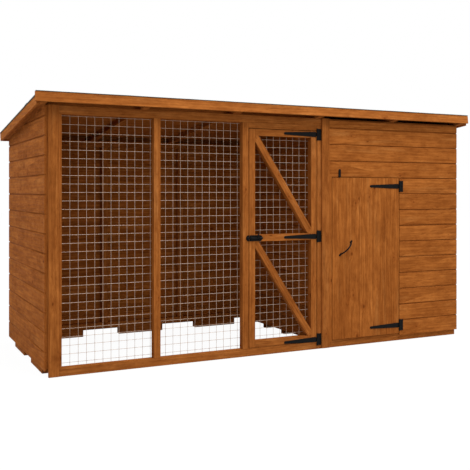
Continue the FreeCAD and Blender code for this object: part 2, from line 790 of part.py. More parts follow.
def handle_foot(side):
    """A flat round-ended foot, on the left (-1) or right (1) of the bow."""
    middle = "%d * (handle_span / 2 + handle_foot_shift)" % side
    straight = "(handle_foot_length - handle_foot_width)"
    bar = timber(straight, "handle_foot_thickness", "handle_foot_width",
                 "%s - %s / 2" % (middle, straight), "0 - handle_foot_thickness",
                 "0 - handle_foot_width / 2")
    ends = [rod("handle_foot_width / 2", "handle_foot_thickness",
                "%s + %d * %s / 2" % (middle, way, straight), axis=(1, 0, 0), angle="90")
            for way in (-1, 1)]
    return [bar] + ends


def make_pull_handle():
    """A bow bent from rod on two flat feet, drawn level and then leaned."""
    bow = doc.addObject("Part::Torus", "bow")
    bind(bow, Radius1="bow_radius", Radius2="handle_rod_radius", Angle3="2 * bow_half_angle")
    place(bow, "0", "bow_radius - handle_rise - handle_foot_thickness", "0",
          (0, 0, 1), "0 - 90 - bow_half_angle")
    handle = fused([bow] + handle_foot(-1) + handle_foot(1))
    place(handle, "leaf_left + handle_inset", "boards_face", "handle_level", (0, 1, 0), "0 - handle_lean")
    keep(handle, "pull_handle")


def write_parts():
    os.makedirs("parts", exist_ok=True)
    for item in doc.Objects:
        if "Invalid" in item.State or "Error" in item.State:
            raise RuntimeError("%s did not recompute" % item.Label)
    for item in nodes:
        if item.Shape.isNull() or not item.Shape.isValid():
            raise RuntimeError("%s has no sound shape" % item.Label)
        item.Shape.exportStep(os.path.join("parts", item.Label + ".step"))


fill_sheet()
space = roof_space()
make_run_front(space)
make_run_mesh()
make_run_door()
make_left_wall(space)
make_right_wall(space)
make_back_walls(space)
make_partition(space)
make_kennel_front()
make_kennel_door()
make_cover_strips(space)
make_floor()
make_roof()
make_hinges()
make_pad_bolt()
make_keeper()
make_turn_button()
make_pull_handle()
doc.recompute()
write_parts()
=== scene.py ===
# %% [markdown]
# # A timber kennel with a wire run
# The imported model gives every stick, board and hinge at its true place. This lesson dresses it: stained
# softwood with grain and knots, galvanised mesh, black iron fittings and a mineral felt roof. Lengths are
# in metres.

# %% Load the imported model
import math

import bmesh
import bpy
from mathutils import Matrix, Vector


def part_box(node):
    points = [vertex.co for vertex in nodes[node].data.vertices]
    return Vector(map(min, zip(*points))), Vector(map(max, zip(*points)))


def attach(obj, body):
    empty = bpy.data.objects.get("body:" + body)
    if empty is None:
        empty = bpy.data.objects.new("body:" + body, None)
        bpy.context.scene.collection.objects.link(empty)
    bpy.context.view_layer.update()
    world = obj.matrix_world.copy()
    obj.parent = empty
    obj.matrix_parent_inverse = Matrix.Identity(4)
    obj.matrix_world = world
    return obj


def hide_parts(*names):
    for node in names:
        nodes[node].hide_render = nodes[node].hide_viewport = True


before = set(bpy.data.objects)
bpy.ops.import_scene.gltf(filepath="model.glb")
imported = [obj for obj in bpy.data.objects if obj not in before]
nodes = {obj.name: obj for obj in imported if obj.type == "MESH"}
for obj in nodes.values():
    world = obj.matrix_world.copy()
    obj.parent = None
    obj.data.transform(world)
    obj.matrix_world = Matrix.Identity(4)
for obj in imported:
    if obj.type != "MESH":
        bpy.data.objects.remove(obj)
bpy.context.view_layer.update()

# %% [markdown]
# ## The viewpoint
# The house is seen from the left at a low eye height. A level camera keeps the posts upright, so the frame
# is lowered with a small lens shift and the camera isn't tilted.

# %% Camera
EYE = (-2.463, -4.934, 1.071)
VIEW_TURN = math.radians(26.187)
VIEW_LENS = 57.72
VIEW_SHIFT = -0.0917

view = bpy.data.cameras.new("viewpoint")
view.lens = VIEW_LENS
view.sensor_width = 36
view.shift_y = VIEW_SHIFT
camera = bpy.data.objects.new("viewpoint", view)
camera.location = EYE
camera.rotation_euler = (math.pi / 2, 0, -VIEW_TURN)
bpy.context.scene.collection.objects.link(camera)
bpy.context.scene.camera = camera
print("camera at, m:", EYE, "lens, mm:", VIEW_LENS)

# %% [markdown]
# ## The studio
# The picture wants a white page with only a faint shadow on it. A white floor would throw light back up at
# the house, and more light on it would wash out the stain. So floor and sky light the house as they really
# are, and are mixed with plain white only for the rays that the eye, a mirror or a glass would see.

# %% White for the eye alone
def white_to_the_eye(tree, lit, share, strength=1.0):
    """Mixes a lit shader with plain white, for camera, mirror and glass rays alone."""
    path = tree.nodes.new("ShaderNodeLightPath")
    seen = path.outputs["Is Camera Ray"]
    for ray in ("Is Glossy Ray", "Is Transmission Ray"):
        either = tree.nodes.new("ShaderNodeMath")
        either.operation = "MAXIMUM"
        tree.links.new(seen, either.inputs[0])
        tree.links.new(path.outputs[ray], either.inputs[1])
        seen = either.outputs[0]
    part = tree.nodes.new("ShaderNodeMath")
    part.operation = "MULTIPLY"
    part.inputs[1].default_value = share
    tree.links.new(seen, part.inputs[0])
    plain = tree.nodes.new("ShaderNodeBackground" if lit.type == "BACKGROUND" else "ShaderNodeEmission")
    plain.inputs["Color"].default_value = (1, 1, 1, 1)
    plain.inputs["Strength"].default_value = strength
    mix = tree.nodes.new("ShaderNodeMixShader")
    tree.links.new(part.outputs[0], mix.inputs[0])
    tree.links.new(lit.outputs[0], mix.inputs[1])
    tree.links.new(plain.outputs[0], mix.inputs[2])
    return mix


# %% Floor
FLOOR_WIDTH = 60
FLOOR_LEVEL = -0.0005
PAPER_GREY = 0.5
PAPER_WHITE_SHARE = 0.9
PAPER_WHITE_STRENGTH = 1.07

bpy.ops.object.select_all(action="DESELECT")
bpy.ops.mesh.primitive_plane_add(size=FLOOR_WIDTH, location=(0, 0, FLOOR_LEVEL))
floor = bpy.context.object
floor.name = "studio_floor"
paper = bpy.data.materials.new("studio_paper")
paper.use_nodes = True
matt = paper.node_tree.nodes["Principled BSDF"]
matt.inputs["Base Color"].default_value = (PAPER_GREY, PAPER_GREY, PAPER_GREY, 1)
matt.inputs["Roughness"].default_value = 0.9
matt.inputs["Specular IOR Level"].default_value = 0.1
page = white_to_the_eye(paper.node_tree, matt, PAPER_WHITE_SHARE, PAPER_WHITE_STRENGTH)
paper_out = paper.node_tree.nodes["Material Output"]
paper.node_tree.links.new(page.outputs[0], paper_out.inputs["Surface"])
floor.data.materials.append(paper)
print("floor width, m:", FLOOR_WIDTH)

# %% Sky
SKY_STRENGTH = 0.71

sky = bpy.data.worlds.new("studio_sky")
sky.use_nodes = True
glow = sky.node_tree.nodes["Background"]
glow.inputs["Color"].default_value = (1, 1, 1, 1)
glow.inputs["Strength"].default_value = SKY_STRENGTH
sky_out = sky.node_tree.nodes["World Output"]
sky.node_tree.links.new(white_to_the_eye(sky.node_tree, glow, 1.0).outputs[0], sky_out.inputs["Surface"])
bpy.context.scene.world = sky
bpy.context.scene.view_settings.view_transform = "Standard"
print("sky strength:", SKY_STRENGTH)

# %% [markdown]
# ## Two lamps
# The light falls mostly from above. One broad lamp, high in front, gives the soft shade under the eaves,
# and a weaker one at the left lights the end wall. Both are large squares, so that no shadow is hard.

# %% Lamps
def soft_lamp(name, place, aim, size, power):
    light = bpy.data.lights.new(name, "AREA")
    light.shape = "SQUARE"
    light.size = size
    light.energy = power
    lamp = bpy.data.objects.new(name, light)
    lamp.location = place
    lamp.rotation_euler = (Vector(aim) - Vector(place)).to_track_quat("-Z", "Y").to_euler()
    bpy.context.scene.collection.objects.link(lamp)
    print(name, "watts:", power)


soft_lamp("key_lamp", (0.9, -3.4, 7.6), (0.2, -0.5, 0.7), 4.0, 470)
soft_lamp("fill_lamp", (-6.0, -0.5, 6.0), (-1.4, 0, 0.8), 3.0, 95)

# %% [markdown]
# ## A way to write materials
# Shader nodes are usually set out and joined by hand. In a script the joining takes most of the lines, so
# a small class does it: a method adds one node, joins what it is given, and hands back what comes out.

# %% Helpers for shader nodes
class Recipe:
    """A material under construction, with short ways to add and join nodes."""

    def __init__(self, name):
        self.material = bpy.data.materials.new(name)
        self.material.use_nodes = True
        self.tree = self.material.node_tree
        self.surface = self.tree.nodes["Principled BSDF"]

    def join(self, source, target):
        """Links a socket to a target socket, or sets the target to a plain value."""
        if isinstance(source, bpy.types.NodeSocket):
            self.tree.links.new(source, target)
        else:
            target.default_value = source

    def math(self, operation, first, second=0.0, third=0.0):
        node = self.tree.nodes.new("ShaderNodeMath")
        node.operation = operation
        for socket, value in zip(node.inputs, (first, second, third)):
            self.join(value, socket)
        return node.outputs[0]

    def vector(self, operation, first, second=(0, 0, 0), third=(0, 0, 0)):
        node = self.tree.nodes.new("ShaderNodeVectorMath")
        node.operation = operation
        self.join(first, node.inputs[0])
        self.join(second, node.inputs[1])
        if operation == "MULTIPLY_ADD":
            self.join(third, node.inputs[2])
        return node.outputs["Value"] if operation in ("LENGTH", "DOT_PRODUCT") else node.outputs[0]

    def parts(self, vector):
        """The three parts of a vector."""
        node = self.tree.nodes.new("ShaderNodeSeparateXYZ")
        self.join(vector, node.inputs[0])
        return list(node.outputs)

    def noise(self, vector, scale=1.0, detail=2.0, roughness=0.5):
        node = self.tree.nodes.new("ShaderNodeTexNoise")
        self.join(vector, node.inputs["Vector"])
        for name, value in (("Scale", scale), ("Detail", detail), ("Roughness", roughness)):
            node.inputs[name].default_value = value
        return node.outputs[0]

    def spread(self, value, low, high, to_low=0.0, to_high=1.0):
        """Maps low..high onto to_low..to_high, smoothly and without running past."""
        node = self.tree.nodes.new("ShaderNodeMapRange")
        node.interpolation_type = "SMOOTHSTEP"
        self.join(value, node.inputs[0])
        for socket, number in zip(list(node.inputs)[1:5], (low, high, to_low, to_high)):
            socket.default_value = number
        return node.outputs[0]

    def blend(self, amount, first, second, kind="MIX"):
        """Mixes two colours, which are sockets 6 and 7 of a Mix node."""
        node = self.tree.nodes.new("ShaderNodeMix")
        node.data_type = "RGBA"
        node.blend_type = kind
        self.join(amount, node.inputs["Factor"])
        self.join(first, node.inputs[6])
        self.join(second, node.inputs[7])
        return node.outputs[2]

    def object_coords(self):
        return self.tree.nodes.new("ShaderNodeTexCoord").outputs["Object"]

    def bump(self, height, distance, strength=1.0):
        node = self.tree.nodes.new("ShaderNodeBump")
        node.inputs["Distance"].default_value = distance
        node.inputs["Strength"].default_value = strength
        self.join(height, node.inputs["Height"])
        self.join(node.outputs[0], self.surface.inputs["Normal"])


def toned(colour, red, green, blue):
    """A colour with each of its parts made stronger or weaker."""
    return (colour[0] * red, colour[1] * green, colour[2] * blue, 1)


# %% [markdown]
# ## Wood that runs along its timber
# Every timber here is planed softwood dipped in one golden-brown stain. What tells the boards apart is
# their grain and a slightly different tone in each. An image of wood would have to be laid on each board by
# hand, so the grain is drawn with noise in Object coordinates, turned until x runs along the timber. Each
# board then moves them by its own random number, so that no two boards show the same stretch of wood.

# %% Coordinates along the grain
GRAIN_TURN = {"x": (0, 0, 0), "y": (0, 0, -math.pi / 2), "z": (0, math.pi / 2, 0)}
BOARD_SHIFT = (23.0, 9.0, 5.0)


def along_grain(wood, grain, turn, apart):
    """Coordinates whose x runs with the grain, and a number from 0 to 1 for each board."""
    mapping = wood.tree.nodes.new("ShaderNodeMapping")
    mapping.inputs["Rotation"].default_value = turn or GRAIN_TURN[grain]
    wood.join(wood.object_coords(), mapping.inputs["Vector"])
    if apart:
        board = wood.tree.nodes.new("ShaderNodeNewGeometry").outputs["Random Per Island"]
    else:
        board = wood.tree.nodes.new("ShaderNodeValue").outputs[0]
        board.default_value = 0.5
    return wood.vector("MULTIPLY_ADD", board, BOARD_SHIFT, mapping.outputs[0]), board


# %% [markdown]
# ## Knots
# A knot is where a branch grew. Voronoi cells scatter them: the cells are long and flat, each has at most
# one knot at its point, and the cell's random colour says whether there is one and how big it is.

# %% Scatter the knots
KNOT_SHARE = 0.16
KNOT_CELLS = (3.1, 13.0)
KNOT_STRETCH = 0.6
KNOT_RADIUS = 0.0055
KNOT_VARIES = 0.007
KNOT_WAVER = 0.004
HALO_RADIUS = 0.04


def knot_marks(wood, along, length, cross):
    """How much a point lies in a knot, and in the wider halo round one."""
    flat = wood.tree.nodes.new("ShaderNodeCombineXYZ")
    wood.join(wood.math("MULTIPLY", length, KNOT_CELLS[0]), flat.inputs[0])
    wood.join(wood.math("MULTIPLY", cross, KNOT_CELLS[1]), flat.inputs[1])
    cells = wood.tree.nodes.new("ShaderNodeTexVoronoi")
    cells.voronoi_dimensions = "2D"
    cells.inputs["Scale"].default_value = 1.0
    wood.join(flat.outputs[0], cells.inputs["Vector"])
    offset = wood.vector("SUBTRACT", flat.outputs[0], cells.outputs["Position"])
    metres = wood.vector("MULTIPLY", offset, (KNOT_STRETCH / KNOT_CELLS[0], 1 / KNOT_CELLS[1], 0))
    waver = wood.math("MULTIPLY", wood.noise(along, 90.0, 2.0), KNOT_WAVER)
    reach = wood.math("ADD", wood.vector("LENGTH", metres), waver)
    chance = wood.tree.nodes.new("ShaderNodeSeparateColor")
    wood.join(cells.outputs["Color"], chance.inputs[0])
    chosen = wood.math("LESS_THAN", chance.outputs[0], KNOT_SHARE)
    radius = wood.math("MULTIPLY_ADD", chance.outputs[1], KNOT_VARIES, KNOT_RADIUS)
    knot = wood.math("SUBTRACT", 1.0, wood.spread(wood.math("DIVIDE", reach, radius), 0.45, 1.2))
    halo = wood.math("SUBTRACT", 1.0, wood.spread(reach, 0.0, HALO_RADIUS))
    return wood.math("MULTIPLY", chosen, knot), wood.math("MULTIPLY", chosen, halo)


# %% [markdown]
# ## Rings and smaller marks
# The rings show as bands across a board, each rising slowly to dark late wood and ending sharply. A
# repeated ramp makes them, bent by slow noise and parted by the knots' halos. Stretched noise at other
# lengths gives the fibres, streaks, flecks and blotches that a dipped board also has.

# %% Draw the rings and marks
# A mark's repeats in a metre along and across the grain, then its detail and its roughness.
MARKS = {
    "slow": (0.5, 5.0, 3.0, 0.55),
    "fibre": (9.0, 420.0, 2.0, 0.6),
    "streak": (3.4, 62.0, 3.0, 0.65),
    "fleck": (30.0, 210.0, 1.0, 0.5),
    "blotch": (11.0, 26.0, 4.0, 0.68),
    "bloom": (2.6, 21.0, 3.0, 0.6),
    "cloud": (3.2, 3.2, 3.0, 0.6),
}
RING_BEND = 7.0
RING_PARTING = 1.6


def mark(wood, along, name):
    length, width, detail, roughness = MARKS[name]
    return wood.noise(wood.vector("MULTIPLY", along, (length, width, width)), 1.0, detail, roughness)


def late_wood(wood, along, cross, halo, rings):
    """How much a point lies in the dark late wood of a ring."""
    bend = wood.math("MULTIPLY", mark(wood, along, "slow"), RING_BEND)
    phase = wood.math("MULTIPLY_ADD", cross, rings, bend)
    phase = wood.math("ADD", phase, wood.math("MULTIPLY", halo, RING_PARTING))
    band = wood.math("FRACT", phase)
    return wood.math("SUBTRACT", wood.spread(band, 0.25, 0.86), wood.spread(band, 0.86, 1.0))


# %% [markdown]
# ## Shade, stain, laps and sawn ends
# The stain soaks in unevenly. All the marks are multiplied into one shade, and the darker the shade, the
# redder the stain, as in a real dip. The top of each course gets a painted shade, standing for the shadow
# of the board above. A sawn end is darkened too: partly the stain, which soaks deeper into end grain, and
# partly painted shade in the gaps and joints where most sawn ends sit.

# %% Shade a board
# Between a mark's low and high value, the shade goes from the third number to the fourth.
SHADES = (
    ("streak", 0.3, 0.72, 0.86, 1.16),
    ("blotch", 0.3, 0.7, 0.84, 1.14),
    ("fleck", 0.6, 0.74, 1.0, 0.8),
    ("cloud", 0.3, 0.7, 0.90, 1.10),
)


def board_shade(wood, along, late, fibre, board, tone):
    """How light the stain has dried, about 1 on the whole."""
    shade = wood.math("MULTIPLY_ADD", late, -tone, 1.0 + tone * 0.45)
    shade = wood.math("MULTIPLY", shade, wood.math("MULTIPLY_ADD", fibre, 0.18, 0.91))
    for name, low, high, first, last in SHADES:
        shade = wood.math("MULTIPLY", shade, wood.spread(mark(wood, along, name), low, high, first, last))
    return wood.math("MULTIPLY", shade, wood.math("MULTIPLY_ADD", board, 0.14, 0.93))


def dipped(wood, colour, shade, bloom):
    """The stain's colour: redder in a dark shade, paler where the bloom is."""
    tint = wood.tree.nodes.new("ShaderNodeCombineColor")
    wood.join(shade, tint.inputs[0])
    wood.join(wood.math("POWER", shade, 1.25), tint.inputs[1])
    wood.join(wood.math("POWER", shade, 1.5), tint.inputs[2])
    thin = toned(colour, 1.22, 1.5, 2.0)
    stained = wood.blend(wood.spread(bloom, 0.5, 0.78, 0.0, 0.55), (*colour, 1), thin)
    return wood.blend(1.0, stained, tint.outputs[0], "MULTIPLY")


# %% Paint shade under laps and darken sawn ends
BOARD_START = 0.0385
BOARD_PITCH = 0.1135
GRAIN_AXIS = {"x": (1, 0, 0), "y": (0, 1, 0), "z": (0, 0, 1)}


def painted_lap_shade(wood):
    """Painted shade under each lap: rises from 0 to 0.4 over the top of each course."""
    height = wood.parts(wood.object_coords())[2]
    risen = wood.math("SUBTRACT", height, BOARD_START)
    course = wood.math("FRACT", wood.math("DIVIDE", risen, BOARD_PITCH))
    return wood.spread(course, 0.88, 0.965, 0.0, 0.4)


def end_stain_and_gap_shade(wood, grain, turn):
    """1 on a face cut across the grain, and 0 on a planed one."""
    normal = wood.tree.nodes.new("ShaderNodeTexCoord").outputs["Normal"]
    run = Vector(GRAIN_AXIS[grain])
    if turn:
        run = Matrix.Rotation(-turn[1], 3, "Y") @ run
    facing = wood.math("ABSOLUTE", wood.vector("DOT_PRODUCT", normal, tuple(run)))
    return wood.spread(facing, 0.8, 0.95)


# %% The wood recipe
def stained_wood(name, colour, grain, tone=0.12, rings=44, turn=None, courses=False, apart=True):
    """Softwood whose grain runs along x, y or z, or along a turn of x.

    Tone is how much darker the late wood is, and rings are counted in a metre. Courses get a painted
    shade under each lap. Each board is told from the next by its island of faces, unless apart is off."""
    wood = Recipe(name)
    along, board = along_grain(wood, grain, turn, apart)
    length, side, rise = wood.parts(along)
    cross = wood.math("MULTIPLY_ADD", side, 0.8, rise)
    knot, halo = knot_marks(wood, along, length, cross)
    late = late_wood(wood, along, cross, halo, rings)
    fibre = mark(wood, along, "fibre")

    shade = board_shade(wood, along, late, fibre, board, tone)
    stained = dipped(wood, colour, shade, mark(wood, along, "bloom"))
    dark = toned(colour, 0.34, 0.24, 0.2)
    stained = wood.blend(wood.math("MULTIPLY", halo, 0.45), stained, toned(colour, 0.74, 0.6, 0.5))
    stained = wood.blend(wood.math("MULTIPLY", knot, 0.7), stained, dark)
    # Painted shade: the top of each course is darkened where the board above would shade it.
    if courses:
        stained = wood.blend(painted_lap_shade(wood), stained, dark)
    # A sawn end soaks up more stain, and the same darkening paints shade into the gaps and joints where
    # most sawn ends sit.
    sawn = wood.math("MULTIPLY", end_stain_and_gap_shade(wood, grain, turn), 0.4)
    stained = wood.blend(sawn, stained, toned(colour, 0.5, 0.42, 0.4))
    wood.join(stained, wood.surface.inputs["Base Color"])

    rough = wood.math("MULTIPLY_ADD", late, -0.08, 0.66)
    wood.join(wood.math("MULTIPLY_ADD", fibre, 0.22, rough), wood.surface.inputs["Roughness"])
    wood.surface.inputs["Specular IOR Level"].default_value = 0.02
    relief = wood.math("ADD", wood.math("MULTIPLY", late, 0.5), wood.math("MULTIPLY", fibre, 0.6))
    wood.bump(wood.math("MULTIPLY_ADD", knot, 0.6, relief), 0.0004, 0.6)
    print(name, "shader nodes:", len(wood.tree.nodes))
    return wood.material


# %% [markdown]
# ## Softened edges
# No planed timber has a knife edge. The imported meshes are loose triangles, so each is first welded into
# whole boards, which also lets the stain tell one board from the next, and then its sharp edges are eased.
# The black fittings get a far finer edge, enough to catch a line of light.

# %% Ease the edges
EASED_BOARD = 0.0008
EASED_STICK = 0.0015
EASED_IRON = 0.0004


def soften(piece, width):
    bevel = piece.modifiers.new("eased_edges", "BEVEL")
    bevel.width = width
    bevel.segments = 2
    bevel.limit_method = "ANGLE"
    bevel.angle_limit = math.radians(50)


def ease_edges(node, width):
    weld = nodes[node].modifiers.new("join_faces", "WELD")
    weld.merge_threshold = 0.00002
    soften(nodes[node], width)


def give(node, material):
    for slot in nodes[node].material_slots:
        slot.material = material


def finish(names, material, width):
    """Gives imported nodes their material, and eases their edges by the width."""
    for node in names:
        give(node, material)
        ease_edges(node, width)
    print(material.name, "on:", ", ".join(names))


# %% [markdown]
# ## Which timber gets which grain
# All timbers went through one dip. The thin boards took it a little redder than the framing, and the
# fascias and bargeboards, which are planed cleanest, came out lightest. A timber is finished with the
# others that run its way.

# %% Finish the boards
BOARD_STAIN = (0.335, 0.100, 0.0180)
FRAME_STAIN = (0.315, 0.096, 0.0185)
TRIM_STAIN = (0.365, 0.112, 0.0215)
FRAME_TONE = 0.17
FRAME_RINGS = 60
TRIM_TONE = 0.15

finish(["kennel_front_boards", "run_back_boards", "kennel_back_boards"],
       stained_wood("shiplap_along_x", BOARD_STAIN, "x", courses=True), EASED_BOARD)
finish(["left_wall_boards", "right_wall_boards", "partition_boards"],
       stained_wood("shiplap_along_y", BOARD_STAIN, "y", courses=True), EASED_BOARD)
finish(["roof_boards"], stained_wood("roof_boards_along_x", BOARD_STAIN, "x"), EASED_BOARD)
finish(["kennel_floor_boards"], stained_wood("floor_boards_along_y", BOARD_STAIN, "y"), EASED_BOARD)
finish(["kennel_door_boards", "kennel_jamb_strip"],
       stained_wood("door_boards_upright", BOARD_STAIN, "z", FRAME_TONE, 38), EASED_BOARD)

# %% Finish the framing
finish(["run_front_sill", "front_top_rail", "run_door_head", "run_door_rails", "run_back_rails",
        "kennel_back_rails", "kennel_front_rails", "kennel_door_ledges", "floor_bearers", "run_back_feet"],
       stained_wood("framing_along_x", FRAME_STAIN, "x", FRAME_TONE, FRAME_RINGS), EASED_STICK)
finish(["left_wall_rails", "right_wall_rails", "partition_rails", "left_wall_feet", "roof_rafters"],
       stained_wood("framing_along_y", FRAME_STAIN, "y", FRAME_TONE, FRAME_RINGS), EASED_STICK)
finish(["run_corner_post", "run_mullion", "run_latch_post", "run_hinge_post", "run_door_latch_stile",
        "run_door_hinge_stile", "left_wall_studs", "right_wall_studs", "run_back_studs",
        "kennel_back_studs", "partition_studs"],
       stained_wood("framing_upright", FRAME_STAIN, "z", FRAME_TONE, FRAME_RINGS), EASED_STICK)

# %% [markdown]
# ## Doubled studs, braces and trim
# Two of the kennel's front studs stand face to face. A weld would make one odd piece of them, so these
# studs keep their faces as packed, and share one number where the other timbers have one each. The braces
# lean, so their grain is turned by the slope from one rail to the next. The fascias, bargeboards and cover
# strips are finished last.

# %% Finish the doubled studs, the braces and the trim
BRACE_RUN = 0.42900
BRACE_RISE = 0.64902
brace_turn = (0, -math.atan2(BRACE_RISE, BRACE_RUN), 0)

give("kennel_front_studs",
     stained_wood("framing_doubled", FRAME_STAIN, "z", FRAME_TONE, FRAME_RINGS, apart=False))
finish(["run_door_braces"],
       stained_wood("framing_braces", FRAME_STAIN, "x", FRAME_TONE, FRAME_RINGS, brace_turn), EASED_STICK)
finish(["front_fascia", "rear_fascia"],
       stained_wood("trim_along_x", TRIM_STAIN, "x", TRIM_TONE), EASED_STICK)
finish(["left_bargeboard", "right_bargeboard"],
       stained_wood("trim_along_y", TRIM_STAIN, "y", TRIM_TONE), EASED_STICK)
finish(["corner_cover_strip", "joint_cover_strip"],
       stained_wood("trim_upright", FRAME_STAIN, "z", TRIM_TONE), EASED_STICK)

# %% [markdown]
# ## Metal and felt
# The fittings are steel under a black coat that is slightly orange-peeled and rubbed paler in places. The
# mesh is dipped in zinc after welding, and zinc sets in dull and bright patches. The roof is bitumen felt
# faced with dark green grit, so its sparkle is a very fine noise in both colour and bump.

# %% A black coat
def black_coat(name, colour, rough):
    coat = Recipe(name)
    coords = coat.object_coords()
    worn = coat.spread(coat.noise(coords, 60.0, 4.0, 0.7), 0.45, 0.8)
    rubbed = toned(colour, 2.2, 2.1, 2.0)
    coat.join(coat.blend(worn, (*colour, 1), rubbed), coat.surface.inputs["Base Color"])
    coat.join(coat.math("MULTIPLY_ADD", worn, 0.16, rough), coat.surface.inputs["Roughness"])
    coat.surface.inputs["Specular IOR Level"].default_value = 0.1
    coat.bump(coat.noise(coords, 900.0, 2.0), 0.0002, 0.5)
    return coat.material


# %% Zinc on wire
ZINC_BRIGHT = (0.61, 0.452, 0.34, 1)
ZINC_DULL = (0.49, 0.358, 0.268, 1)


def galvanised(name):
    coat = Recipe(name)
    spangle = coat.noise(coat.object_coords(), 160.0, 3.0, 0.6)
    dull = coat.spread(spangle, 0.35, 0.7)
    coat.join(coat.blend(dull, ZINC_BRIGHT, ZINC_DULL), coat.surface.inputs["Base Color"])
    coat.surface.inputs["Metallic"].default_value = 0.2
    coat.join(coat.math("MULTIPLY_ADD", dull, 0.2, 0.38), coat.surface.inputs["Roughness"])
    coat.bump(spangle, 0.0001, 0.4)
    return coat.material


# %% Grit on felt
GRIT_DARK = (0.026, 0.029, 0.022, 1)
GRIT_PALE = (0.092, 0.1, 0.078, 1)
GRIT_DUSTY = (0.06, 0.062, 0.055, 1)


def mineral_felt(name):
    coat = Recipe(name)
    coords = coat.object_coords()
    grit = coat.noise(coords, 700.0, 2.0, 0.8)
    face = coat.blend(coat.spread(grit, 0.42, 0.62), GRIT_DARK, GRIT_PALE)
    dusty = coat.math("MULTIPLY", coat.spread(coat.noise(coords, 2.5, 3.0, 0.6), 0.35, 0.7), 0.35)
    coat.join(coat.blend(dusty, face, GRIT_DUSTY), coat.surface.inputs["Base Color"])
    coat.surface.inputs["Roughness"].default_value = 0.92
    coat.bump(grit, 0.0012, 0.8)
    return coat.material


# %% Finish the fittings
iron = black_coat("black_iron", (0.0035, 0.0033, 0.0032), 0.6)
zinc = black_coat("blackened_steel", (0.0055, 0.0053, 0.0052), 0.5)
wire = galvanised("galvanised_wire")
felt = mineral_felt("mineral_felt")
finish(["run_hinge_plates", "kennel_hinge_plates", "bolt_plate", "bolt_keeper", "turn_button"],
       iron, EASED_IRON)
give("pull_handle", iron)
for node in ("run_hinge_pins", "kennel_hinge_pins", "bolt_rod", "turn_button_screw"):
    give(node, zinc)

# %% [markdown]
# ## Working at the bench
# The smaller pieces are modelled by hand: a primitive is added at its size, shaped in edit mode, and copied
# to each place it is needed. These helpers pick faces or points by where they are, carry copies to their
# places, and join them into one named piece that moves with its body.

# %% Lay down and pick
def lay_down():
    """Leaves edit mode with nothing selected."""
    if bpy.context.object and bpy.context.object.mode == "EDIT":
        bpy.ops.object.mode_set(mode="OBJECT")
    bpy.ops.object.select_all(action="DESELECT")


def take_up(piece):
    """Selects one piece alone and makes it the active one."""
    lay_down()
    piece.select_set(True)
    bpy.context.view_layer.objects.active = piece


def pick(kind, wanted):
    """Selects, in edit mode, the faces or points whose middle and normal are wanted."""
    mesh = bpy.context.object.data
    bpy.ops.mesh.select_mode(type=kind)
    bpy.ops.mesh.select_all(action="DESELECT")
    shape = bmesh.from_edit_mesh(mesh)
    for part in shape.faces if kind == "FACE" else shape.verts:
        middle = part.calc_center_median() if kind == "FACE" else part.co
        part.select_set(bool(wanted(middle, part.normal)))
    shape.select_flush_mode()
    bmesh.update_edit_mesh(mesh)


def extrude(x, y, z):
    bpy.ops.mesh.extrude_region_move(TRANSFORM_OT_translate={"value": (x, y, z)})


# %% Carry copies to their places
def carry(stock, name, body, material):
    """Sets a copy of each master at each of its places, joins them and hands them to their body."""
    lay_down()
    copies = []
    for master, places in stock:
        for place in places:
            copy = bpy.data.objects.new(name, master.data.copy())
            copy.data.transform(place)
            bpy.context.scene.collection.objects.link(copy)
            copy.select_set(True)
            copies.append(copy)
    bpy.context.view_layer.objects.active = copies[0]
    if len(copies) > 1:
        bpy.ops.object.join()
    piece = copies[0]
    piece.name = piece.data.name = name
    piece.data.materials.clear()
    piece.data.materials.append(material)
    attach(piece, body)
    print(name, "copies:", len(copies), "faces:", len(piece.data.polygons))
    return piece


def put_away(*masters):
    """Removes the masters once their copies are in place."""
    for master in masters:
        bpy.data.objects.remove(master, do_unlink=True)


# %% Find the sticks of a node
def corners(places):
    """The lowest and the highest corner of a box round some places."""
    low = Vector(min(place[axis] for place in places) for axis in range(3))
    high = Vector(max(place[axis] for place in places) for axis in range(3))
    return low, high


def sticks(node):
    """The boxes of the separate sticks of a node, as pairs of corners."""
    shape = bmesh.new()
    shape.from_mesh(nodes[node].data)
    bmesh.ops.remove_doubles(shape, verts=shape.verts, dist=0.00005)
    boxes, seen = [], set()
    for start in shape.verts:
        if start in seen:
            continue
        island, edge = {start}, [start]
        while edge:
            for link in edge.pop().link_edges:
                for vert in link.verts:
                    if vert not in island:
                        island.add(vert)
                        edge.append(vert)
        seen |= island
        boxes.append(corners([vert.co.copy() for vert in island]))
    shape.free()
    return boxes


# %% [markdown]
# ## Welded mesh
# The run's wire is drawn, crossed at 50 mm and fused, then dipped in zinc. It is round, about 2 mm thick,
# and swells where two wires melt together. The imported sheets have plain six-sided bars that are a little
# stout, so thinner round wires take their place. One bay of wire is modelled with its weld, an array
# makes a whole wire of it, and copies make the sheets.

# %% A wire of any number of bays
WIRE_PITCH = 0.05
WIRE_RADIUS = 0.001
WIRE_STUB = 0.003
WELD_HALF = 0.0016
WELD_SWELL = 1.22


